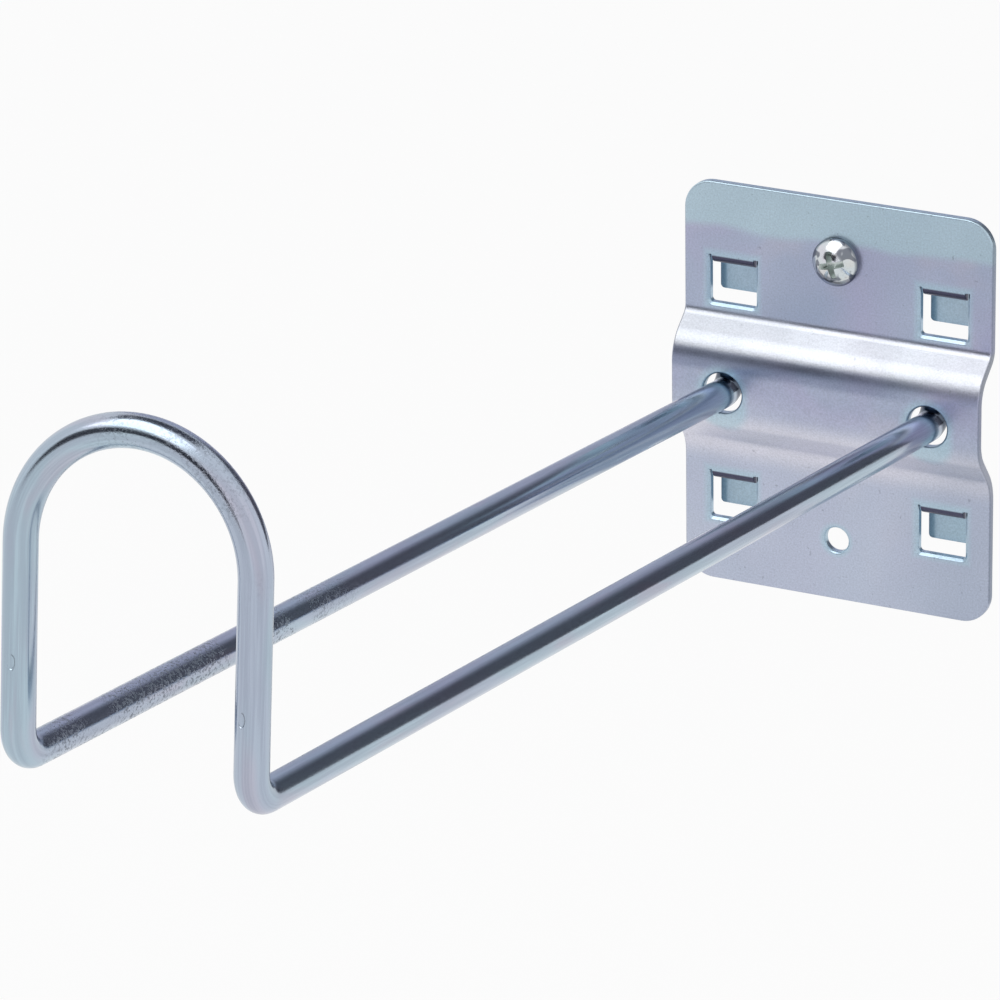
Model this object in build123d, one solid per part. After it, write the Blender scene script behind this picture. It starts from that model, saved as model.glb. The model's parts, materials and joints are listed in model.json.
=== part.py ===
from build123d import *
from math import cos, radians, sin, tan
import os

# Cable holder for a perforated tool panel. All sizes are in millimetres.
# X runs to the right as seen from the room, Y points into the panel and Z points up.
# The origin lies on the panel's face, midway between the four tongues.

# Back plate: one pressed sheet
sheet_thickness = 1.5
plate_width = 55.4
plate_height = 70.0
plate_centre_z = 0.9
corner_radius = 5.0
hole_flare = 0.3

# Windows with a tongue each, on the pitch of the panel's holes
pitch_across = 38.0
pitch_up = 38.0
window_width = 8.4
window_height = 8.4
window_corner = 0.6
window_bevel = 0.5

# Tongues, lanced from the upper edge of each window and set back behind the panel's sheet
panel_gap = 2.0
tongue_side_gap = 0.4
tongue_bend_inner = 0.1
tongue_lead_in = 0.05
tongue_drop = 6.9
tongue_corner = 0.7

# Bead: the hollow ridge across the plate, deep enough for the ends of the wire
channel_clearance = 0.1
bead_top = 8.7
bead_bottom = -3.4
bead_upper_run = 4.4
bead_lower_run = 6.6
upper_crease = 2.0
upper_shoulder = 5.5
lower_shoulder = 5.5
lower_crease = 7.0

# Round wire bracket
wire_diameter = 5.0
run_spacing = 37.0
run_reach = 231.8
run_rise = 5.5
leg_height = 31.5
front_bend = 4.5
end_bend = 3.5
end_top = 5.8
wire_sag = 0.1
end_chamfer = 0.5

# Holes for the wire in the front of the bead
wire_hole_clearance = 1.0
wire_hole_z = 1.1

# Locking screw and the equal hole below it
screw_diameter = 4.0
screw_clearance = 0.15
screw_z = 25.4
lower_hole_z = -23.6
head_diameter = 8.2
head_height = 2.9
head_side = 0.9
rim_radius = 0.5
neck_diameter = 3.5
thread_length = 8.5
thread_chamfer = 0.5
recess_span = 5.2
recess_width = 1.1
recess_depth = 1.9
recess_taper = 0.55
recess_turn = 14.0

# Sizes that follow from the ones above
wire_radius = wire_diameter / 2
channel_depth = wire_diameter + 2 * channel_clearance
bead_front = -sheet_thickness - channel_depth
plate_top = plate_centre_z + plate_height / 2
plate_bottom = plate_centre_z - plate_height / 2
wire_hole_radius = wire_radius + wire_hole_clearance
screw_hole_radius = screw_diameter / 2 + screw_clearance


def bent_strip(corners, radii, thickness):
    """Closed profile of a bent sheet in the YZ plane, from the corners of its front face.

    The corners run downwards as (y, z) and the sheet lies behind them. Each inner corner
    has an inner bend radius, and the other face of that bend is larger by the sheet.
    """
    front = [Vector(y, z) for y, z in corners]
    headings = [(b - a).normalized() for a, b in zip(front, front[1:])]
    normals = [Vector(-d.Y, d.X) for d in headings]
    back = [front[0] + normals[0] * thickness]
    turns = []
    for point, before, after in zip(front[1:-1], normals, normals[1:]):
        middle = (before + after).normalized()
        back.append(point + middle * (thickness / middle.dot(before)))
        turns.append(before.cross(after).Z)
    back.append(front[-1] + normals[-1] * thickness)

    with BuildSketch() as profile:
        with BuildLine():
            Polyline(*front, *reversed(back), close=True)
        make_face()
        for index, (radius, turn) in enumerate(zip(radii, turns)):
            front_radius = radius if turn < 0 else radius + thickness
            back_radius = radius + thickness if turn < 0 else radius
            for place, bend in ((front[index + 1], front_radius), (back[index + 1], back_radius)):
                nearest = profile.vertices().sort_by_distance(place)[0]
                fillet(nearest, bend)
    # The sketch's X and Y become the part's Y and Z, and its normal becomes the part's X
    return Plane.YZ * profile.sketch


def plate_body():
    """The sheet with its bead, cut to the rounded outline."""
    profile = bent_strip(
        [
            (-sheet_thickness, plate_top),
            (-sheet_thickness, bead_top + bead_upper_run),
            (bead_front, bead_top),
            (bead_front, bead_bottom),
            (-sheet_thickness, bead_bottom - bead_lower_run),
            (-sheet_thickness, plate_bottom),
        ],
        [upper_crease, upper_shoulder, lower_shoulder, lower_crease],
        sheet_thickness,
    )
    sheet = extrude(profile, amount=plate_width / 2, both=True)
    outline = Plane.XZ * Pos(0, plate_centre_z) * RectangleRounded(plate_width, plate_height, corner_radius)
    return sheet & extrude(outline, amount=4 * channel_depth, both=True)


def window_places():
    """Centres of the four windows as (x, z)."""
    return [(x * pitch_across / 2, z * pitch_up / 2) for z in (1, -1) for x in (-1, 1)]


def window_cut(x, z):
    """The punched window: its lower corners are round, the tongue grows from the upper edge."""
    shape = Plane.XZ * Pos(x, z) * Rectangle(window_width, window_height)
    block = extrude(shape, amount=2 * sheet_thickness, both=True)
    lower = block.edges().filter_by(Axis.Y).group_by(Axis.Z)[0]
    return fillet(lower, window_corner)


def tongue(x, z):
    """One tongue: it goes back through the panel's hole and hangs down behind the panel."""
    root = z + window_height / 2
    shelf = root - tongue_lead_in - tongue_bend_inner - sheet_thickness
    profile = bent_strip(
        [
            (-sheet_thickness, root),
            (-sheet_thickness, shelf),
            (panel_gap, shelf),
            (panel_gap, root - tongue_drop),
        ],
        [tongue_bend_inner] * 2,
        sheet_thickness,
    )
    width = window_width - 2 * tongue_side_gap
    strip = Pos(x, 0, 0) * extrude(profile, amount=width / 2, both=True)
    tip = strip.edges().filter_by(Axis.Y).group_by(Axis.Z)[0]
    return fillet(tip, tongue_corner)


def punched_hole(x, z, radius, front):
    """A round hole through the sheet whose front face lies at front, with a flared front rim."""
    wall = Cylinder(radius, 4 * sheet_thickness)
    flare = Cone(radius, radius + hole_flare, hole_flare, align=(Align.CENTER, Align.CENTER, Align.MAX))
    return Pos(x, front, z) * Rot(90, 0, 0) * (wall + flare)


def back_plate():
    plate = plate_body()
    for x, z in window_places():
        plate -= window_cut(x, z)
    for side in (-1, 1):
        plate -= punched_hole(side * run_spacing / 2, wire_hole_z, wire_hole_radius, bead_front)
    for z in (screw_z, lower_hole_z):
        plate -= punched_hole(0, z, screw_hole_radius, -sheet_thickness)
    plate = bevel_window_lips(plate)
    for x, z in window_places():
        plate += tongue(x, z)
    return plate


def bevel_window_lips(plate):
    """Bevels the front of each window's lower edge and corners, as the punch leaves it."""
    lips = []
    front = plate.edges().filter_by_position(Axis.Y, -sheet_thickness, -sheet_thickness)
    for x, z in window_places():
        around = front.filter_by_position(Axis.X, x - window_width / 2, x + window_width / 2)
        around = around.filter_by_position(Axis.Z, z - window_height / 2, z + window_height / 2)
        lips += around.sort_by(Axis.Z)[:3]
    return chamfer(lips, window_bevel)


def rounded_path(points, radii):
    """Straight runs through the points, joined by tangent arcs of the given radii."""
    pieces = []
    start = points[0]
    for before, corner, after, radius in zip(points, points[1:], points[2:], radii):
        into = (corner - before).normalized()
        out = (after - corner).normalized()
        turn = into.get_angle(out)
        reach = radius * tan(radians(turn) / 2)
        arc_start = corner - into * reach
        arc_end = corner + out * reach
        inward = (out - into).normalized()
        to_middle = radius / cos(radians(turn) / 2) - radius
        pieces.append(Line(start, arc_start))
        pieces.append(ThreePointArc(arc_start, corner + inward * to_middle, arc_end))
        start = arc_end
    pieces.append(Line(start, points[-1]))
    return pieces


def wire_bracket():
    """The bent wire: upturned ends in the bead, two runs, two legs and the round arch."""
    rise = radians(run_rise)
    along_run = Vector(0, -cos(rise), sin(rise))
    up_leg = Vector(0, sin(rise), cos(rise))
    end_y = -channel_clearance - wire_radius
    hole_y = bead_front + sheet_thickness / 2
    end_z = wire_hole_z - wire_sag - (end_y - hole_y) * tan(rise)
    half = run_spacing / 2

    def side_points(x):
        corner = Vector(x, end_y, end_z)
        front = corner + along_run * ((run_reach + end_y) / cos(rise))
        return [Vector(x, end_y, end_top), corner, front, front + up_leg * leg_height]

    left = side_points(-half)
    right = side_points(half)
    arch_top = (left[-1] + right[-1]) / 2 + up_leg * half
    path = Wire(
        rounded_path(left, [end_bend, front_bend])
        + [ThreePointArc(left[-1], arch_top, right[-1])]
        + rounded_path(right[::-1], [front_bend, end_bend])
    )
    section = Plane(origin=left[0], z_dir=(0, 0, -1)) * Circle(wire_radius)
    bracket = sweep(section, path=path)
    ends = bracket.faces().sort_by(lambda face: (face.center() - left[0]).length)[:1]
    ends += bracket.faces().sort_by(lambda face: (face.center() - right[0]).length)[:1]
    return chamfer([edge for face in ends for edge in face.edges()], end_chamfer)


def locking_screw():
    """Pan head with a cross recess, on a narrow neck in the plate and a thread behind it."""
    side_radius = head_diameter / 2
    crown = head_height - head_side
    dome_radius = (side_radius ** 2 + crown ** 2) / (2 * crown)
    with BuildSketch(Plane.XZ) as half_section:
        with BuildLine():
            base = Line((0, 0), (side_radius, 0))
            side = Line(base @ 1, (side_radius, head_side))
            dome = RadiusArc(side @ 1, (0, head_height), -dome_radius)
            Line(dome @ 1, base @ 0)
        make_face()
        fillet(half_section.vertices().sort_by_distance(side @ 1)[0], rim_radius)
    head = revolve(half_section.sketch, Axis.Z)
    neck = Pos(0, 0, -sheet_thickness / 2) * Cylinder(neck_diameter / 2, sheet_thickness)
    thread = Pos(0, 0, -sheet_thickness - thread_length / 2) * Cylinder(screw_diameter / 2, thread_length)
    tip = thread.edges().filter_by(GeomType.CIRCLE).sort_by(Axis.Z)[0]
    screw = head + neck + chamfer(tip, thread_chamfer) - cross_recess()
    # The screw's own Z axis is turned to face the room, with the head on the front of the plate
    return Pos(0, -sheet_thickness, screw_z) * Rot(90, 0, 0) * Rot(0, 0, recess_turn) * screw


def cross_recess():
    """Four tapering arms that meet in the middle, cut from the crown of the head."""
    mouth = Plane.XY.offset(head_height)
    floor = Plane.XY.offset(head_height - recess_depth)
    arms = []
    for turn in (0, 90):
        wide = mouth * Rot(0, 0, turn) * Rectangle(recess_span, recess_width)
        narrow = floor * Rot(0, 0, turn) * Rectangle(recess_span * recess_taper, recess_width * recess_taper)
        arms.append(loft(Sketch() + [wide, narrow]))
    return arms[0] + arms[1]


os.makedirs("parts", exist_ok=True)
export_step(back_plate(), "parts/back_plate.step")
export_step(wire_bracket(), "parts/wire_bracket.step")
export_step(locking_screw(), "parts/locking_screw.step")
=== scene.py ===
import json
from math import cos, pi, radians, sin, tan

import bpy
from mathutils import Matrix, Vector

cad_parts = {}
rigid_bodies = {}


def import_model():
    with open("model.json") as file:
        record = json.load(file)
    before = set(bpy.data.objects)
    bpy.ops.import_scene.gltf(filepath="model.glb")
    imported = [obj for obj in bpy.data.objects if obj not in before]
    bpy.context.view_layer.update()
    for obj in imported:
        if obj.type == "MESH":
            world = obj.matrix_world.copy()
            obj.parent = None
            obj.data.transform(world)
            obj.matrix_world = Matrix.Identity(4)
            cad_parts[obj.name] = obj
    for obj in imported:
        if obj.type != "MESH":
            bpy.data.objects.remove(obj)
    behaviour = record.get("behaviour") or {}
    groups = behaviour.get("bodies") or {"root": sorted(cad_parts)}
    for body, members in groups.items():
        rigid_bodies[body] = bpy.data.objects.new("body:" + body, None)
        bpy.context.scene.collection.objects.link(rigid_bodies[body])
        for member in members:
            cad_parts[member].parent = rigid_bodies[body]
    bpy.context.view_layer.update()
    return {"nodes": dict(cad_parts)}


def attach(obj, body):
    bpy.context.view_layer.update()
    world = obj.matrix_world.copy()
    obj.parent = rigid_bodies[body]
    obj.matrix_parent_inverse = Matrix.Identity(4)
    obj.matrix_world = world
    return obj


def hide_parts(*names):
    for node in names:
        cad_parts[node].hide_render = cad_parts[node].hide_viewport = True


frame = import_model()

# Sizes in metres, as in the solids. X runs right, Y into the panel, Z up.
MM = 0.001
SHEET = 1.5 * MM
PLATE_HALF_WIDTH = 27.7 * MM
PLATE_TOP = 35.9 * MM
PLATE_BOTTOM = -34.1 * MM
CORNER_RADIUS = 5.0 * MM
BEAD_FRONT = -6.7 * MM
WIRE_RADIUS = 2.5 * MM
HALF_SPACING = 18.5 * MM
RUN_RISE = radians(5.5)
END_TOP = 5.8 * MM
END_BEND = 3.5 * MM
FRONT_BEND = 4.5 * MM
LEG_HEIGHT = 31.5 * MM
END_Y = -2.6 * MM
RUN_FRONT = -231.8 * MM
WIRE_HOLE_Z = 1.1 * MM
WIRE_SAG = 0.1 * MM
SCREW_Z = 25.4 * MM
LOWER_HOLE_Z = -23.6 * MM
WINDOW_PLACE = 19.0 * MM
WINDOW_HALF = 4.2 * MM
WIRE_HOLE_RADIUS = 3.5 * MM
SCREW_HOLE_RADIUS = 2.15 * MM
TONGUE_GAP = 0.4 * MM
HEAD_HEIGHT = 2.9 * MM
DOME_RADIUS = 5.2 * MM
RECESS_TURN = radians(14.0)
THREAD_RADIUS = 2.0 * MM
THREAD_END = 8.5 * MM
END_CHAMFER = 0.5 * MM

# Fine shapes that only this script gives
OUTLINE_ROUNDING = 0.32 * MM
EDGE_BREAK = 0.1 * MM
SCREW_EDGE_BREAK = 0.08 * MM
NECK_CUT = -0.4 * MM
MARK_PLACE = 2.25 * MM
MARK_SIZE = (1.5 * MM, 0.8 * MM, 0.28 * MM)
MARK_DROP = 0.78 * MM
MARK_TILT = radians(22)
THREAD_CORE = 1.62 * MM
THREAD_PITCH = 0.7 * MM
THREAD_TIP = 0.3 * MM
THREAD_RUNOUT = 0.9 * MM
THREAD_STOP = 0.5 * MM
THREAD_ROOT = 0.05 * MM
CORE_LAP = 0.5 * MM

# How finely the wire and the thread are divided
RING_POINTS = 48
BEND_STEPS = 16
ARCH_STEPS = 72
SHORT_STEP = 1.5 * MM
LONG_STEP = 4 * MM
CORE_FACETS = 40
RIDGE_STEPS = 32

# Studio: how much bluer than grey its cards are, and its floor with its share of plain white
CARD_BLUE = 1.2
FLOOR_SHINE = 0.93
FLOOR_GREY = 0.62
FLOOR_Z = -160 * MM
FLOOR_SIZE = 6.0

# Zones in millimetres of the coat and of its painted light and shade: where each starts, is full, starts
# to fade and ends
UPPER_FLANK = (6.8, 9.0, 12.8, 13.8)
UNDER_FLANK = (4.2, 5.6, 7.8, 8.6)
LOWER_FLANK = (-13.5, -9.5, -5.0, -1.0)
FOLD_FROM_TOP = (-3.3, -1.9, -0.35, -0.05)
MOUTH_DEPTH = (-6.6, -5.4, -3.6, -2.4)
SPECKS_ALONG_RUN = (130, 160, 222, 236)
SPECKS_ALONG_ARCH = (282, 292, 314, 326)

# The recess in the screw lies within this way from its axis
RECESS_REACH = 2.8 * MM

# Nicks of the bending tool on the legs: two lengths across the wire and one along it
LEG_NICKS = ((2.49 * MM, -0.17 * MM, 246.2 * MM), (2.46 * MM, -0.46 * MM, 340.1 * MM))


def colour(red, green, blue):
    """A colour given as it looks on screen, from 0 to 255."""
    def linear(value):
        share = value / 255
        return share / 12.92 if share <= 0.04045 else ((share + 0.055) / 1.055) ** 2.4
    return (linear(red), linear(green), linear(blue), 1.0)


SHEET_COOL = colour(170, 179, 201)
SHEET_LILAC = colour(175, 176, 202)
SHEET_WARM = colour(190, 184, 198)
SHEET_LOW = colour(190, 198, 215)
SHEET_TOP = colour(178, 198, 211)
SHEET_SPECK = colour(110, 114, 132)
# Painted highlight on the bead's upper flank, and painted light on its lower flank
FLANK_PAINTED_HIGHLIGHT = colour(186, 189, 193)
LOW_FLANK_PAINTED_LIGHT = colour(224, 222, 232)
# Painted dark reflection under the upper flank, and painted shade low on the right
BAND_PAINTED_REFLECTION = colour(108, 118, 146)
RIGHT_PAINTED_SHADE = colour(140, 152, 172)
# Painted highlight round the windows and holes
RING_PAINTED_HIGHLIGHT = colour(172, 204, 217)
# Painted shade on the sheared sides, on the tongues and in their folds
RIM_PAINTED_SHADE = colour(96, 106, 124)
TONGUE_PAINTED_SHADE = colour(112, 140, 158)
FOLD_PAINTED_SHADE = colour(58, 46, 74)
WIRE_COOL = colour(176, 195, 208)
WIRE_LILAC = colour(178, 188, 205)
WIRE_WARM = colour(190, 182, 198)
WIRE_STREAK = colour(132, 140, 158)
WIRE_SPECK = colour(94, 98, 106)
# Painted shade on the wire in the mouth of its hole
MOUTH_PAINTED_SHADE = colour(46, 58, 74)
SCREW_COOL = colour(206, 214, 217)
SCREW_LILAC = colour(210, 211, 218)
SCREW_WARM = colour(216, 212, 204)
SCREW_SPECK = colour(150, 152, 158)
# Painted dark reflections on the screw's dome, and painted shade round its rim
SCREW_PAINTED_REFLECTION = colour(84, 90, 104)
SCREW_RIM_PAINTED_SHADE = colour(88, 94, 108)
RECESS_DULL = colour(222, 229, 227)


# Handling of pieces
def deselect_all():
    if bpy.context.object and bpy.context.object.mode != "OBJECT":
        bpy.ops.object.mode_set(mode="OBJECT")
    bpy.ops.object.select_all(action="DESELECT")


def make_active(piece):
    deselect_all()
    piece.select_set(True)
    bpy.context.view_layer.objects.active = piece


def apply_modifier(piece, kind, **settings):
    """Adds a modifier with its settings and applies it to the piece's mesh."""
    make_active(piece)
    modifier = piece.modifiers.new(kind.lower(), kind)
    for name, value in settings.items():
        setattr(modifier, name, value)
    bpy.ops.object.modifier_apply(modifier=modifier.name)


def place_in_mesh(piece):
    """Moves the object's place into its mesh, so that the object sits at the origin."""
    make_active(piece)
    bpy.ops.object.transform_apply(location=True, rotation=True, scale=True)


def named(piece, name):
    piece.name = name
    piece.data.name = name
    return piece


def merged_copy(node, name):
    """A copy of a CAD node whose loose triangles are joined into clean faces."""
    source = frame["nodes"][node]
    piece = source.copy()
    piece.data = source.data.copy()
    named(piece, name)
    piece.parent = None
    for key in [key for key in piece.keys() if key.startswith("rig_")]:
        del piece[key]
    bpy.context.scene.collection.objects.link(piece)
    make_active(piece)
    bpy.ops.object.mode_set(mode="EDIT")
    bpy.ops.mesh.select_all(action="SELECT")
    bpy.ops.mesh.remove_doubles(threshold=0.002 * MM)
    bpy.ops.mesh.dissolve_limited(angle_limit=radians(0.3))
    bpy.ops.object.mode_set(mode="OBJECT")
    return piece


def fill_ends(piece):
    """Fills the open ends of a swept shape and turns its faces outwards."""
    make_active(piece)
    bpy.ops.object.mode_set(mode="EDIT")
    bpy.ops.mesh.select_all(action="DESELECT")
    bpy.ops.mesh.select_mode(type="EDGE")
    bpy.ops.mesh.select_non_manifold()
    bpy.ops.mesh.fill_holes(sides=0)
    bpy.ops.mesh.select_mode(type="FACE")
    bpy.ops.mesh.select_all(action="SELECT")
    bpy.ops.mesh.normals_make_consistent(inside=False)
    bpy.ops.object.mode_set(mode="OBJECT")


# Bent wire
def bent_wire():
    """The wire, extruded along its straights and spun round its bends, from end to end."""
    down = Vector((0, 0, -1))
    forward = Vector((0, -1, 0))
    across = Vector((1, 0, 0))
    along = Vector((0, -cos(RUN_RISE), sin(RUN_RISE)))
    up_leg = Vector((0, sin(RUN_RISE), cos(RUN_RISE)))
    end_turn = down.angle(along)
    end_reach = END_BEND * tan(end_turn / 2)
    hole_y = BEAD_FRONT + SHEET / 2
    end_z = WIRE_HOLE_Z - WIRE_SAG - (END_Y - hole_y) * tan(RUN_RISE)
    run_length = (END_Y - RUN_FRONT) / cos(RUN_RISE) - end_reach - FRONT_BEND
    end_length = END_TOP - end_z - end_reach
    leg_length = LEG_HEIGHT - FRONT_BEND

    deselect_all()
    start = Vector((-HALF_SPACING, END_Y, END_TOP))
    bpy.ops.mesh.primitive_circle_add(
        vertices=RING_POINTS, radius=WIRE_RADIUS, fill_type="NOTHING", location=start)
    piece = named(bpy.context.object, "bent_wire")
    place_in_mesh(piece)
    bpy.ops.object.mode_set(mode="EDIT")
    bpy.ops.mesh.select_all(action="SELECT")
    centres = [start]

    def straight(direction, length, step):
        count = max(1, round(length / step))
        for _ in range(count):
            bpy.ops.mesh.extrude_region_move(
                TRANSFORM_OT_translate={"value": direction * (length / count)})
            centres.append(centres[-1] + direction * (length / count))

    def bend(to_middle, axis, angle, steps):
        middle = centres[-1] + to_middle
        bpy.ops.mesh.spin(steps=steps, angle=-angle, center=middle, axis=axis)
        arm = centres[-1] - middle
        for index in range(1, steps + 1):
            turn = Matrix.Rotation(angle * index / steps, 3, axis)
            centres.append(middle + turn @ arm)

    straight(down, end_length, SHORT_STEP)
    bend(forward * END_BEND, across, -end_turn, BEND_STEPS)
    straight(along, run_length, LONG_STEP)
    bend(up_leg * FRONT_BEND, across, -pi / 2, BEND_STEPS)
    straight(up_leg, leg_length, SHORT_STEP)
    bend(across * HALF_SPACING, up_leg.cross(across), pi, ARCH_STEPS)
    straight(-up_leg, leg_length, SHORT_STEP)
    bend(-along * FRONT_BEND, across, pi / 2, BEND_STEPS)
    straight(-along, run_length, LONG_STEP)
    bend(up_leg * END_BEND, across, end_turn, BEND_STEPS)
    straight(-down, end_length, SHORT_STEP)
    bpy.ops.object.mode_set(mode="OBJECT")
    keep_place_on_wire(piece, centres)
    fill_ends(piece)
    round_ends(piece)
    return piece


def keep_place_on_wire(piece, centres):
    """Keeps each point's place on the wire as if it were straight: two across, one along."""
    lengths = [0.0]
    for before, after in zip(centres, centres[1:]):
        lengths.append(lengths[-1] + (after - before).length)
    attribute = piece.data.attributes.new("wire_place", "FLOAT_VECTOR", "POINT")
    for index in range(len(piece.data.vertices)):
        angle = 2 * pi * (index % RING_POINTS) / RING_POINTS
        place = (WIRE_RADIUS * cos(angle), WIRE_RADIUS * sin(angle), lengths[index // RING_POINTS])
        attribute.data[index].vector = place


def round_ends(piece):
    """Rounds the rims of the two cut ends a little."""
    apply_modifier(piece, "BEVEL", width=END_CHAMFER, segments=3, limit_method="ANGLE",
                   angle_limit=radians(60), use_clamp_overlap=False)


# Screw
def screw():
    """The head and neck from the solids, with four small marks, and a real thread behind."""
    piece = merged_copy("locking_screw", "dressed_screw")
    make_active(piece)
    bpy.ops.object.mode_set(mode="EDIT")
    bpy.ops.mesh.select_all(action="SELECT")
    bpy.ops.mesh.bisect(plane_co=(0, NECK_CUT, 0), plane_no=(0, 1, 0), clear_outer=True, use_fill=True)
    bpy.ops.object.mode_set(mode="OBJECT")
    for index in range(4):
        cut_mark(piece, RECESS_TURN + radians(45 + 90 * index))
    apply_modifier(piece, "BEVEL", width=SCREW_EDGE_BREAK, segments=2, limit_method="ANGLE",
                   angle_limit=radians(35), use_clamp_overlap=True)
    thread = screw_thread()
    make_active(piece)
    thread.select_set(True)
    bpy.ops.object.join()
    return piece


def cut_mark(piece, angle):
    """One shallow radial mark in the crown, between two arms of the recess."""
    deselect_all()
    bpy.ops.mesh.primitive_cube_add(size=1, location=(MARK_PLACE, 0, 0))
    cutter = bpy.context.object
    cutter.scale = MARK_SIZE
    place_in_mesh(cutter)
    crown = -SHEET - HEAD_HEIGHT + MARK_DROP
    cutter.data.transform(
        Matrix.Translation((0, crown, SCREW_Z))
        @ Matrix.Rotation(angle, 4, "Y")
        @ Matrix.Rotation(MARK_TILT, 4, "Z"))
    apply_modifier(piece, "BOOLEAN", object=cutter, operation="DIFFERENCE", solver="EXACT")
    bpy.data.objects.remove(cutter)


def screw_thread():
    """Core with a helical ridge, both from primitives."""
    deselect_all()
    length = THREAD_END + CORE_LAP
    bpy.ops.mesh.primitive_cylinder_add(
        vertices=CORE_FACETS, radius=THREAD_CORE, depth=length,
        location=(0, THREAD_END - length / 2, SCREW_Z), rotation=(pi / 2, 0, 0))
    core = named(bpy.context.object, "thread_core")
    place_in_mesh(core)
    apply_modifier(core, "BEVEL", width=THREAD_TIP, segments=1, limit_method="ANGLE",
                   angle_limit=radians(60))
    deselect_all()
    bpy.ops.mesh.primitive_circle_add(vertices=4, radius=1, fill_type="NOTHING")
    ridge = named(bpy.context.object, "thread_ridge")
    half = THREAD_PITCH / 2
    inside = THREAD_CORE - THREAD_ROOT
    crest = 0.12 * half
    foot = 0.95 * half
    profile = [(THREAD_RADIUS, crest), (THREAD_RADIUS, -crest), (inside, -foot), (inside, foot)]
    for vertex, (radius, height) in zip(ridge.data.vertices, profile):
        vertex.co = (radius, 0, height)
    turns = int((THREAD_END - THREAD_RUNOUT) / THREAD_PITCH)
    apply_modifier(ridge, "SCREW", axis="Z", angle=2 * pi, screw_offset=THREAD_PITCH,
                   iterations=turns, steps=RIDGE_STEPS, render_steps=RIDGE_STEPS)
    fill_ends(ridge)
    ridge.data.transform(
        Matrix.Translation((0, THREAD_END - THREAD_STOP, SCREW_Z)) @ Matrix.Rotation(pi / 2, 4, "X"))
    make_active(core)
    ridge.select_set(True)
    bpy.ops.object.join()
    return core


# Plate
def hook_plate():
    """The sheet from the solids, with its outline rolled over and its other edges broken."""
    piece = merged_copy("back_plate", "dressed_plate")
    mark_outline(piece)
    apply_modifier(piece, "BEVEL", width=OUTLINE_ROUNDING, segments=3, limit_method="WEIGHT",
                   use_clamp_overlap=True)
    apply_modifier(piece, "BEVEL", width=EDGE_BREAK, segments=2, limit_method="ANGLE",
                   angle_limit=radians(40), use_clamp_overlap=False)
    return piece


def mark_outline(piece):
    """Gives full bevel weight to the sharp edges that run round the plate's outline."""
    middle = (PLATE_TOP + PLATE_BOTTOM) / 2
    half_height = (PLATE_TOP - PLATE_BOTTOM) / 2

    def off_outline(point):
        x = max(abs(point.x) - PLATE_HALF_WIDTH + CORNER_RADIUS, 0.0)
        z = max(abs(point.z - middle) - half_height + CORNER_RADIUS, 0.0)
        if x == 0.0 and z == 0.0:
            return CORNER_RADIUS
        return abs((x * x + z * z) ** 0.5 - CORNER_RADIUS)

    mesh = piece.data
    facing = {}
    for face in mesh.polygons:
        for key in face.edge_keys:
            facing.setdefault(key, []).append(face.normal)
    weights = mesh.attributes.new("bevel_weight_edge", "FLOAT", "EDGE")
    for edge in mesh.edges:
        normals = facing[tuple(sorted(edge.vertices))]
        sharp = len(normals) == 2 and normals[0].angle(normals[1]) > radians(60)
        if sharp and all(off_outline(mesh.vertices[index].co) < 0.05 * MM for index in edge.vertices):
            weights.data[edge.index].value = 1.0


# Materials
def put(tree, kind, inputs=None, **settings):
    """Adds a node with its settings, and sets or links its inputs by name or number."""
    made = tree.nodes.new(kind)
    for name, value in settings.items():
        setattr(made, name, value)
    for name, value in (inputs or {}).items():
        if isinstance(value, bpy.types.NodeSocket):
            tree.links.new(value, made.inputs[name])
        else:
            made.inputs[name].default_value = value
    return made


def maths(tree, operation, first, second=0.0, clamp=False):
    return put(tree, "ShaderNodeMath", {0: first, 1: second},
               operation=operation, use_clamp=clamp).outputs[0]


def mapped(tree, value, low, high, to_low=0.0, to_high=1.0):
    return put(tree, "ShaderNodeMapRange", {
        "Value": value, "From Min": low, "From Max": high, "To Min": to_low, "To Max": to_high,
    }, interpolation_type="SMOOTHSTEP").outputs["Result"]


def product(tree, first, second):
    return maths(tree, "MULTIPLY", first, second)


def between(tree, value, zone):
    """1 in the full part of a zone given in millimetres, with soft ends."""
    start, full, fade, end = [length * MM for length in zone]
    return product(tree, mapped(tree, value, start, full), mapped(tree, value, end, fade))


def noise(tree, place, scale, detail=3.0, roughness=0.5, distortion=0.0):
    return put(tree, "ShaderNodeTexNoise", {
        "Vector": place, "Scale": scale, "Detail": detail, "Roughness": roughness,
        "Distortion": distortion,
    }).outputs["Fac"]


def mixed(tree, share, first, second, blend="MIX"):
    """Two colours in one: the first at share 0 and the second at share 1."""
    return put(tree, "ShaderNodeMix", {0: share, 6: first, 7: second},
               data_type="RGBA", blend_type=blend).outputs[2]


def coat(tree, tone, mask, shade, strength=1.0):
    """Lays a shade over the tone where the mask is 1, at the given strength."""
    share = mask if strength == 1.0 else product(tree, mask, strength)
    return mixed(tree, share, tone, shade)


def stretched(tree, place, scale):
    return put(tree, "ShaderNodeMapping", {"Vector": place, "Scale": scale}).outputs[0]


def group(name, inputs, outputs):
    """An empty shader node group with named inputs and outputs."""
    tree = bpy.data.node_groups.new(name, "ShaderNodeTree")
    for title, kind, value in inputs:
        socket = tree.interface.new_socket(name=title, in_out="INPUT", socket_type=kind)
        if value is not None:
            socket.default_value = value
    for title, kind in outputs:
        tree.interface.new_socket(name=title, in_out="OUTPUT", socket_type=kind)
    start = tree.nodes.new("NodeGroupInput")
    end = tree.nodes.new("NodeGroupOutput")
    return tree, start, end


VECTOR = "NodeSocketVector"
FLOAT = "NodeSocketFloat"
COLOUR = "NodeSocketColor"


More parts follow.
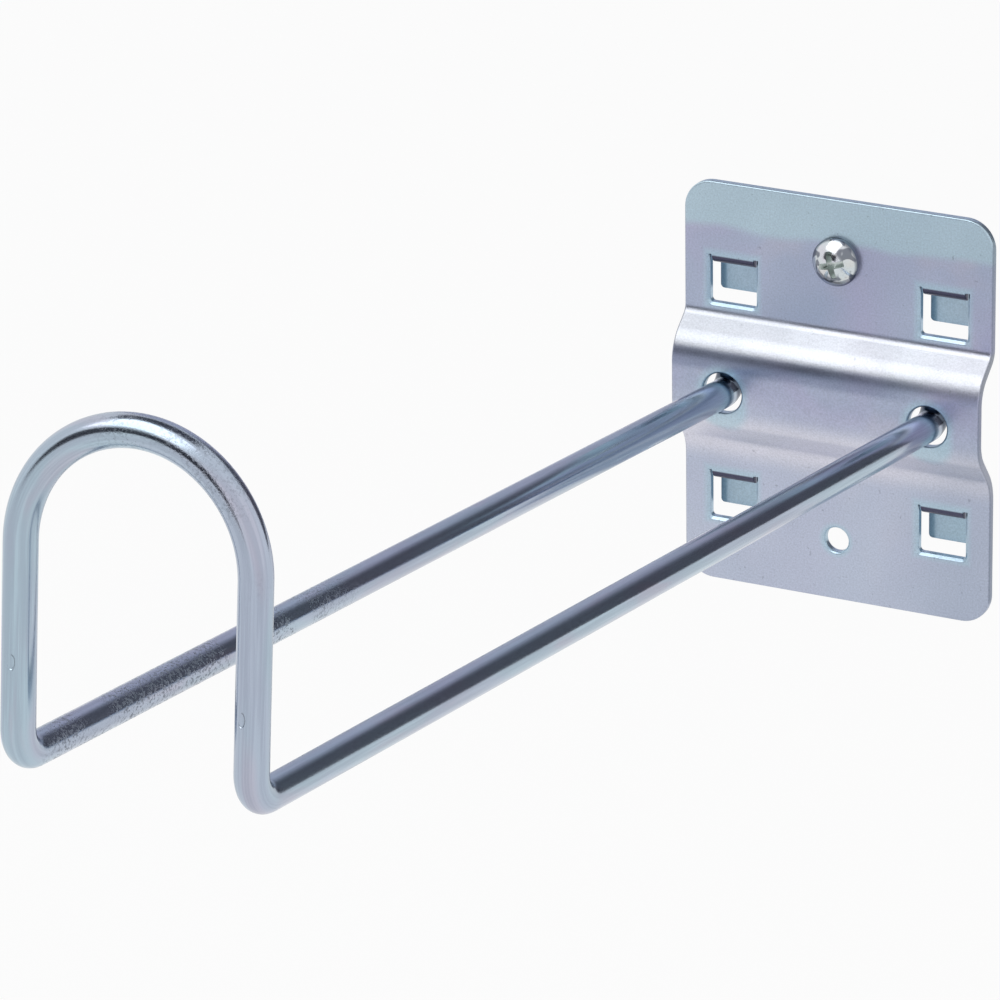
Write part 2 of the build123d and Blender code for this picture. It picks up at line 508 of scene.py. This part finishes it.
def zinc_tint_group():
    """Slow drift of a zinc coat between a cool, a lilac and a warm tone."""
    tree, start, end = group("zinc tint", [
        ("Place", VECTOR, None), ("Scale", FLOAT, 30.0), ("Cool", COLOUR, (0.5, 0.6, 0.7, 1)),
        ("Lilac", COLOUR, (0.6, 0.6, 0.7, 1)), ("Warm", COLOUR, (0.7, 0.6, 0.6, 1)),
        ("Warm Share", FLOAT, 0.3),
    ], [("Colour", COLOUR)])
    place = start.outputs["Place"]
    slow = noise(tree, place, start.outputs["Scale"], 2.0, 0.5, 0.6)
    finer = product(tree, start.outputs["Scale"], 1.7)
    shifted = put(tree, "ShaderNodeVectorMath", {0: place, 1: (0.31, 0.17, 0.53)}, operation="ADD")
    other = noise(tree, shifted.outputs[0], finer, 2.0, 0.55, 0.4)
    tone = mixed(tree, mapped(tree, slow, 0.38, 0.62), start.outputs["Cool"], start.outputs["Lilac"])
    share = product(tree, mapped(tree, other, 0.5, 0.72), start.outputs["Warm Share"])
    tone = mixed(tree, share, tone, start.outputs["Warm"])
    tree.links.new(tone, end.inputs["Colour"])
    return tree


def metal_grain_group():
    """Fine crystals of the zinc coat: a height for bump and a mask of darker specks."""
    tree, start, end = group("metal grain", [
        ("Place", VECTOR, None), ("Size", FLOAT, 0.3), ("Speck Size", FLOAT, 0.5),
        ("Speck Level", FLOAT, 0.62),
    ], [("Height", FLOAT), ("Specks", FLOAT)])
    place = start.outputs["Place"]
    fine = noise(tree, place, maths(tree, "DIVIDE", 1.0, start.outputs["Size"]), 3.0, 0.6)
    coarse = noise(tree, place, maths(tree, "DIVIDE", 1.0, start.outputs["Speck Size"]), 2.0, 0.7)
    level = start.outputs["Speck Level"]
    specks = maths(tree, "MULTIPLY", maths(tree, "SUBTRACT", coarse, level), 14.0, clamp=True)
    height = maths(tree, "SUBTRACT", fine, product(tree, specks, 0.6))
    tree.links.new(height, end.inputs["Height"])
    tree.links.new(specks, end.inputs["Specks"])
    return tree


def hole_halo_group():
    """Ring round a hole for a painted highlight, strongest at its rim."""
    tree, start, end = group("hole halo", [
        ("Place", VECTOR, None), ("Centre X", FLOAT, 0.0), ("Centre Z", FLOAT, 0.0),
        ("Radius", FLOAT, 0.003), ("Reach", FLOAT, 0.002), ("Square", FLOAT, 0.0),
    ], [("Halo", FLOAT)])
    parts = put(tree, "ShaderNodeSeparateXYZ", {0: start.outputs["Place"]})
    off_x = maths(tree, "SUBTRACT", parts.outputs["X"], start.outputs["Centre X"])
    off_z = maths(tree, "SUBTRACT", parts.outputs["Z"], start.outputs["Centre Z"])
    off_x = maths(tree, "ABSOLUTE", off_x)
    off_z = maths(tree, "ABSOLUTE", off_z)
    squares = maths(tree, "ADD", product(tree, off_x, off_x), product(tree, off_z, off_z))
    round_way = maths(tree, "SQRT", squares)
    square_way = maths(tree, "MAXIMUM", off_x, off_z)
    way = put(tree, "ShaderNodeMix", {0: start.outputs["Square"], 2: round_way, 3: square_way}).outputs[0]
    past = maths(tree, "SUBTRACT", way, start.outputs["Radius"])
    share = maths(tree, "DIVIDE", past, start.outputs["Reach"], clamp=True)
    halo = mapped(tree, share, 0.0, 1.0, 1.0, 0.0)
    tree.links.new(halo, end.inputs["Halo"])
    return tree


def use_group(tree, source, inputs):
    return put(tree, "ShaderNodeGroup", inputs, node_tree=source)


def bare_material(name):
    material = bpy.data.materials.new(name)
    material.use_nodes = True
    material.node_tree.nodes.clear()
    return material, material.node_tree


def metal(name):
    """A material with one metallic surface."""
    material, tree = bare_material(name)
    surface = put(tree, "ShaderNodeBsdfPrincipled", {"Metallic": 1.0})
    put(tree, "ShaderNodeOutputMaterial", {"Surface": surface.outputs[0]})
    return material, tree, surface


def tongue_masks(tree, parts):
    """Two masks of painted shade on the tongues: the fold where each turns back, and the face behind it.
    """
    across = parts.outputs["X"]
    depth = parts.outputs["Y"]
    folds = 0.0
    left_edges = 0.0
    for middle in (WINDOW_PLACE, -WINDOW_PLACE):
        from_top = maths(tree, "SUBTRACT", parts.outputs["Z"], middle + WINDOW_HALF)
        folds = maths(tree, "ADD", folds, between(tree, from_top, FOLD_FROM_TOP))
        off_x = maths(tree, "SUBTRACT", across, middle)
        near = maths(tree, "LESS_THAN", maths(tree, "ABSOLUTE", off_x), WINDOW_HALF)
        left = mapped(tree, off_x, -2.4 * MM, -3.0 * MM)
        left_edges = maths(tree, "ADD", left_edges, product(tree, left, near))
    side = maths(tree, "SUBTRACT", maths(tree, "ABSOLUTE", across), WINDOW_PLACE)
    within = maths(tree, "LESS_THAN", maths(tree, "ABSOLUTE", side), WINDOW_HALF - TONGUE_GAP / 2)
    in_front = maths(tree, "LESS_THAN", depth, -0.2 * MM)
    behind = maths(tree, "GREATER_THAN", depth, 1.0 * MM)
    # The hanging face gets a little painted shade all over, and more along its left edge
    face = maths(tree, "ADD", product(tree, left_edges, 0.55), 0.25)
    return product(tree, folds, product(tree, within, in_front)), product(tree, face, behind)


def sheet_patches(tree, place, parts, tone):
    """Broad patches of the sheet's tone and of its painted light and shade, from the top of the plate to
    its foot.
    """
    across = parts.outputs["X"]
    up = parts.outputs["Z"]
    # Below the bead the sheet is paler, and the top is bluer down to an uneven line
    wave = product(tree, maths(tree, "SUBTRACT", noise(tree, place, 60.0, 2.0), 0.5), 4.0 * MM)
    height = maths(tree, "ADD", up, wave)
    tone = coat(tree, tone, mapped(tree, height, 3.0 * MM, -4.0 * MM), SHEET_LOW, 0.75)
    tone = coat(tree, tone, mapped(tree, height, 27.2 * MM, 29.2 * MM), SHEET_TOP)
    # The upper flank of the bead gets a painted highlight, and the lower flank a paler and warmer painted
    # light
    tone = coat(tree, tone, between(tree, up, UPPER_FLANK), FLANK_PAINTED_HIGHLIGHT, 0.8)
    tone = coat(tree, tone, between(tree, up, LOWER_FLANK), LOW_FLANK_PAINTED_LIGHT, 0.7)
    # Under the upper flank a painted dark reflection lies towards the left, and painted shade low down
    # towards the right
    left = mapped(tree, across, 20.0 * MM, 8.0 * MM)
    tone = coat(tree, tone, product(tree, between(tree, up, UNDER_FLANK), left), BAND_PAINTED_REFLECTION, 0.5)
    right = mapped(tree, across, 6.0 * MM, 24.0 * MM)
    low = mapped(tree, up, 4.0 * MM, -4.0 * MM)
    return coat(tree, tone, product(tree, right, low), RIGHT_PAINTED_SHADE, 0.3)


def sheet_rings(tree, place, tone):
    """Painted highlights in pale rings round the windows, the wire holes and the lower screw hole."""
    mirrored = put(tree, "ShaderNodeVectorMath", {0: place}, operation="ABSOLUTE").outputs[0]
    windows = {
        "Place": mirrored, "Centre X": WINDOW_PLACE, "Centre Z": WINDOW_PLACE,
        "Radius": WINDOW_HALF, "Reach": 1.6 * MM, "Square": 1.0}
    wire_holes = {
        "Place": mirrored, "Centre X": HALF_SPACING, "Centre Z": WIRE_HOLE_Z,
        "Radius": WIRE_HOLE_RADIUS, "Reach": 2.0 * MM, "Square": 0.0}
    lower_hole = {
        "Place": place, "Centre X": 0.0, "Centre Z": LOWER_HOLE_Z,
        "Radius": SCREW_HOLE_RADIUS, "Reach": 1.3 * MM, "Square": 0.0}
    for hole, strength in ((windows, 0.55), (wire_holes, 0.6), (lower_hole, 0.6)):
        ring = use_group(tree, GROUPS["halo"], hole)
        tone = coat(tree, tone, ring.outputs["Halo"], RING_PAINTED_HIGHLIGHT, strength)
    return tone


def sheet_painted_shade(tree, parts, tone):
    """Painted shade on the plate's sheared sides, on the tongues and in their folds."""
    side = maths(tree, "ABSOLUTE", parts.outputs["X"])
    rim = mapped(tree, side, PLATE_HALF_WIDTH - 0.28 * MM, PLATE_HALF_WIDTH - 0.06 * MM)
    tone = coat(tree, tone, rim, RIM_PAINTED_SHADE, 0.55)
    fold, face = tongue_masks(tree, parts)
    tone = coat(tree, tone, face, TONGUE_PAINTED_SHADE)
    return coat(tree, tone, fold, FOLD_PAINTED_SHADE, 0.9)


def plated_sheet():
    """Satin zinc on pressed steel: lilac and cool patches, painted highlights in pale rings round each
    cut-out, and painted light and shade on the bead and tongues.
    """
    material, tree, surface = metal("satin zinc sheet")
    place = put(tree, "ShaderNodeTexCoord").outputs["Object"]
    parts = put(tree, "ShaderNodeSeparateXYZ", {0: place})
    tint = use_group(tree, GROUPS["tint"], {
        "Place": place, "Scale": 38.0, "Cool": SHEET_COOL, "Lilac": SHEET_LILAC,
        "Warm": SHEET_WARM, "Warm Share": 0.5})
    grain = use_group(tree, GROUPS["grain"], {
        "Place": place, "Size": 0.3 * MM, "Speck Size": 1.1 * MM, "Speck Level": 0.70})
    tone = sheet_patches(tree, place, parts, tint.outputs["Colour"])
    tone = sheet_rings(tree, place, tone)
    tone = coat(tree, tone, grain.outputs["Specks"], SHEET_SPECK, 0.25)
    tone = sheet_painted_shade(tree, parts, tone)
    crystals = mapped(tree, grain.outputs["Height"], 0.25, 0.75, 0.89, 1.11)
    crystals = put(tree, "ShaderNodeCombineColor", {0: crystals, 1: crystals, 2: crystals}).outputs[0]
    tone = mixed(tree, 1.0, tone, crystals, "MULTIPLY")
    tree.links.new(tone, surface.inputs["Base Color"])
    rough = mapped(tree, noise(tree, place, 90.0, 3.0), 0.3, 0.7, 0.29, 0.38)
    tree.links.new(rough, surface.inputs["Roughness"])
    bump = put(tree, "ShaderNodeBump", {
        "Strength": 0.45, "Distance": 0.05 * MM, "Height": grain.outputs["Height"]})
    tree.links.new(bump.outputs[0], surface.inputs["Normal"])
    return material


def speckled_zones(tree, place, solid):
    """Where the wire is speckled: the front half of the left run, and weakly the arch's right."""
    along = put(tree, "ShaderNodeSeparateXYZ", {0: place}).outputs["Z"]
    arch = product(tree, between(tree, along, SPECKS_ALONG_ARCH), 0.45)
    zones = maths(tree, "ADD", between(tree, along, SPECKS_ALONG_RUN), arch)
    return product(tree, zones, mapped(tree, noise(tree, solid, 60.0, 2.0), 0.40, 0.52))


def bending_nicks(tree, place):
    """A height that falls to -1 in each small nick of the bending tool."""
    nicks = 0.0
    for spot in LEG_NICKS:
        off = put(tree, "ShaderNodeVectorMath", {0: place, 1: spot}, operation="SUBTRACT").outputs[0]
        off = stretched(tree, off, (1.5, 1.5, 0.8))
        way = put(tree, "ShaderNodeVectorMath", {0: off}, operation="LENGTH").outputs["Value"]
        nicks = maths(tree, "ADD", nicks, mapped(tree, way, 0.7 * MM, 1.0 * MM, -1.0, 0.0))
    return nicks


def plated_wire():
    """Shiny zinc on drawn wire: long drawing streaks, and rough dark specks here and there."""
    material, tree, surface = metal("shiny zinc wire")
    place = put(tree, "ShaderNodeAttribute", attribute_name="wire_place").outputs["Vector"]
    solid = put(tree, "ShaderNodeTexCoord").outputs["Object"]
    streaks = noise(tree, stretched(tree, place, (1.0, 1.0, 0.03)), 1100.0, 3.0, 0.65)
    tint = use_group(tree, GROUPS["tint"], {
        "Place": stretched(tree, place, (3.0, 3.0, 0.6)), "Scale": 45.0, "Cool": WIRE_COOL,
        "Lilac": WIRE_LILAC, "Warm": WIRE_WARM, "Warm Share": 0.5})
    grain = use_group(tree, GROUPS["grain"], {
        "Place": solid, "Size": 0.4 * MM, "Speck Size": 0.55 * MM, "Speck Level": 0.52})
    specks = product(tree, grain.outputs["Specks"], speckled_zones(tree, place, solid))
    tone = coat(tree, tint.outputs["Colour"], mapped(tree, streaks, 0.36, 0.62), WIRE_STREAK, 0.28)
    tone = coat(tree, tone, specks, WIRE_SPECK, 0.5)
    # In the mouth of its hole the wire gets painted shade
    depth = put(tree, "ShaderNodeSeparateXYZ", {0: solid}).outputs["Y"]
    tone = coat(tree, tone, between(tree, depth, MOUTH_DEPTH), MOUTH_PAINTED_SHADE, 0.85)
    tree.links.new(tone, surface.inputs["Base Color"])
    rough = mapped(tree, streaks, 0.3, 0.7, 0.15, 0.22)
    rough = maths(tree, "ADD", rough, product(tree, specks, 0.3))
    tree.links.new(rough, surface.inputs["Roughness"])
    height = maths(tree, "SUBTRACT", product(tree, streaks, 0.35), product(tree, specks, 0.8))
    bump = put(tree, "ShaderNodeBump", {"Strength": 0.35, "Distance": 0.04 * MM, "Height": height})
    dent = put(tree, "ShaderNodeBump", {
        "Strength": 0.7, "Distance": 0.3 * MM, "Height": bending_nicks(tree, place),
        "Normal": bump.outputs[0]})
    tree.links.new(dent.outputs[0], surface.inputs["Normal"])
    return material


def head_masks(tree, place):
    """The way out from the screw's axis, the head, and the recess, which lies below its dome."""
    parts = put(tree, "ShaderNodeSeparateXYZ", {0: place})
    across = parts.outputs["X"]
    depth = parts.outputs["Y"]
    up = maths(tree, "SUBTRACT", parts.outputs["Z"], SCREW_Z)
    squares = maths(tree, "ADD", product(tree, up, up), product(tree, across, across))
    head = maths(tree, "LESS_THAN", depth, -SHEET)
    from_crown = maths(tree, "ADD", depth, SHEET + HEAD_HEIGHT)
    sunk = maths(tree, "SUBTRACT", from_crown, maths(tree, "DIVIDE", squares, 2 * DOME_RADIUS))
    inner = maths(tree, "LESS_THAN", squares, RECESS_REACH ** 2)
    recess = product(tree, mapped(tree, sunk, 0.10 * MM, 0.25 * MM), inner)
    return maths(tree, "SQRT", squares), head, product(tree, recess, head)


def bright_screw():
    """Bright zinc with a little grain, painted dark reflections in blotches and painted shade round the
    rim on the head, and a dull recess.
    """
    material, tree, surface = metal("bright zinc screw")
    place = put(tree, "ShaderNodeTexCoord").outputs["Object"]
    grain = use_group(tree, GROUPS["grain"], {
        "Place": place, "Size": 0.4 * MM, "Speck Size": 0.6 * MM, "Speck Level": 0.6})
    tint = use_group(tree, GROUPS["tint"], {
        "Place": place, "Scale": 260.0, "Cool": SCREW_COOL, "Lilac": SCREW_LILAC,
        "Warm": SCREW_WARM, "Warm Share": 0.4})
    tone = coat(tree, tint.outputs["Colour"], grain.outputs["Specks"], SCREW_SPECK, 0.2)
    way, head, recess = head_masks(tree, place)
    # Painted dark reflections in blotches on the dome, and painted shade round the head's rim
    painted_reflections = mapped(tree, noise(tree, place, 430.0, 0.0, 0.5, 1.2), 0.50, 0.62)
    outer = product(tree, mapped(tree, way, 1.6 * MM, 2.4 * MM), head)
    tone = coat(tree, tone, product(tree, painted_reflections, outer), SCREW_PAINTED_REFLECTION, 0.8)
    tone = coat(tree, tone, mapped(tree, way, 3.6 * MM, 4.0 * MM), SCREW_RIM_PAINTED_SHADE, 0.75)
    tone = coat(tree, tone, recess, RECESS_DULL)
    tree.links.new(tone, surface.inputs["Base Color"])
    rough = mapped(tree, grain.outputs["Height"], 0.2, 0.8, 0.09, 0.19)
    rough = maths(tree, "ADD", rough, product(tree, recess, 0.3))
    tree.links.new(rough, surface.inputs["Roughness"])
    bump = put(tree, "ShaderNodeBump", {
        "Strength": 0.2, "Distance": 0.02 * MM, "Height": grain.outputs["Height"]})
    tree.links.new(bump.outputs[0], surface.inputs["Normal"])
    return material


def dress(piece, material, node):
    """Gives a finished piece its material, and lets it stand for its CAD node."""
    piece.data.materials.clear()
    piece.data.materials.append(material)
    make_active(piece)
    bpy.ops.object.shade_smooth_by_angle(angle=radians(30))
    apply_modifier(piece, "WEIGHTED_NORMAL", keep_sharp=True)
    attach(piece, "root")
    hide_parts(node)


# Studio
def stage_plane(name, place, width, height, turn=(0, 0, 0)):
    deselect_all()
    bpy.ops.mesh.primitive_plane_add(size=1, location=place, rotation=turn)
    piece = named(bpy.context.object, name)
    piece.scale = (width, height, 1)
    place_in_mesh(piece)
    return piece


def floor():
    """A pale floor that looks white itself and in the metal, and keeps the soft shadow."""
    piece = stage_plane("floor", (0, 0, FLOOR_Z), FLOOR_SIZE, FLOOR_SIZE)
    material, tree = bare_material("pale floor")
    paint = put(tree, "ShaderNodeBsdfDiffuse", {"Color": (FLOOR_GREY, FLOOR_GREY, FLOOR_GREY, 1.0)})
    shine = put(tree, "ShaderNodeEmission", {"Color": (1, 1, 1, 1), "Strength": 1.0})
    path = put(tree, "ShaderNodeLightPath")
    seen = maths(tree, "ADD", path.outputs["Is Camera Ray"], path.outputs["Is Glossy Ray"])
    seen = maths(tree, "ADD", seen, path.outputs["Is Transmission Ray"], clamp=True)
    share = product(tree, seen, FLOOR_SHINE)
    blend = put(tree, "ShaderNodeMixShader", {0: share, 1: paint.outputs[0], 2: shine.outputs[0]})
    put(tree, "ShaderNodeOutputMaterial", {"Surface": blend.outputs[0]})
    piece.data.materials.append(material)


def studio_card(name, place, width, height, turn):
    """A card that the metal mirrors and the camera doesn't see, with its paint still white."""
    piece = stage_plane(name, place, width, height, turn)
    piece.visible_camera = False
    material, tree = bare_material(name)
    paint = put(tree, "ShaderNodeBsdfDiffuse")
    put(tree, "ShaderNodeOutputMaterial", {"Surface": paint.outputs[0]})
    piece.data.materials.append(material)
    return tree, paint


def even_card(name, place, width, height, turn, grey):
    """A card of one bluish grey."""
    paint = studio_card(name, place, width, height, turn)[1]
    paint.inputs["Color"].default_value = (grey, grey, CARD_BLUE * grey, 1.0)


def graded_card(name, place, width, height, turn, dark, light, dark_end, light_end):
    """A card whose bluish grey runs from dark to light along X."""
    tree, paint = studio_card(name, place, width, height, turn)
    spot = put(tree, "ShaderNodeTexCoord").outputs["Object"]
    across = put(tree, "ShaderNodeSeparateXYZ", {0: spot}).outputs["X"]
    grey = mapped(tree, across, dark_end, light_end, dark, light)
    blue = product(tree, grey, CARD_BLUE)
    tone = put(tree, "ShaderNodeCombineColor", {0: grey, 1: grey, 2: blue}).outputs[0]
    tree.links.new(tone, paint.inputs["Color"])


def studio_light():
    world = bpy.data.worlds.new("studio")
    bpy.context.scene.world = world
    world.use_nodes = True
    tree = world.node_tree
    tree.nodes.clear()
    white = put(tree, "ShaderNodeBackground", {"Color": (1, 1, 1, 1), "Strength": 1.0})
    put(tree, "ShaderNodeOutputWorld", {"Surface": white.outputs[0]})
    # The surroundings darken towards the right behind the plate, above it and low in front
    upright = (pi / 2, 0, 0)
    turned = (pi / 2, 0, radians(-26))
    level = (0, 0, 0)
    graded_card("graded_card", (0.15, 1.6, 0.84), 2.8, 2.0, upright,
                dark=0.14, light=0.70, dark_end=0.50, light_end=-0.50)
    even_card("ceiling_card", (-0.45, 0.36, 1.46), 1.5, 1.1, level, grey=0.14)
    even_card("front_card", (-0.72, -1.42, 0.36), 1.5, 0.66, turned, grey=0.066)


def area_lamp(name, place, aim, size, power):
    lamp = bpy.data.lights.new(name, "AREA")
    lamp.shape = "SQUARE"
    lamp.size = size
    lamp.energy = power
    holder = bpy.data.objects.new(name, lamp)
    holder.location = place
    holder.rotation_euler = (Vector(aim) - Vector(place)).to_track_quat("-Z", "Y").to_euler()
    bpy.context.scene.collection.objects.link(holder)


def camera():
    """The photograph's view: its right, up and backward directions and its place."""
    right = Vector((0.88870, 0.45831, -0.01266))
    up = Vector((-0.15508, 0.32648, 0.93239))
    back = Vector((0.43146, -0.82666, 0.36122))
    place = (0.4770, -1.03556, 0.42497)
    lens = bpy.data.cameras.new("camera")
    lens.sensor_width = 36.0
    lens.lens = 265.65
    lens.clip_start = 0.05
    lens.clip_end = 20.0
    holder = bpy.data.objects.new("camera", lens)
    turn = Matrix((right, up, back)).transposed().to_4x4()
    holder.matrix_world = Matrix.Translation(place) @ turn
    bpy.context.scene.collection.objects.link(holder)
    bpy.context.scene.camera = holder


# Scene
GROUPS = {"tint": zinc_tint_group(), "grain": metal_grain_group(), "halo": hole_halo_group()}

for left_over in [item for item in bpy.data.objects if item.name in ("Cube", "Light", "Camera")]:
    bpy.data.objects.remove(left_over)

camera()
studio_light()
floor()
area_lamp("overhead", place=(-0.45, -0.70, 1.10), aim=(0, 0, 0), size=1.1, power=5.6)
dress(hook_plate(), plated_sheet(), "back_plate")
dress(bent_wire(), plated_wire(), "wire_bracket")
dress(screw(), bright_screw(), "locking_screw")

bpy.context.scene.view_settings.view_transform = "Standard"
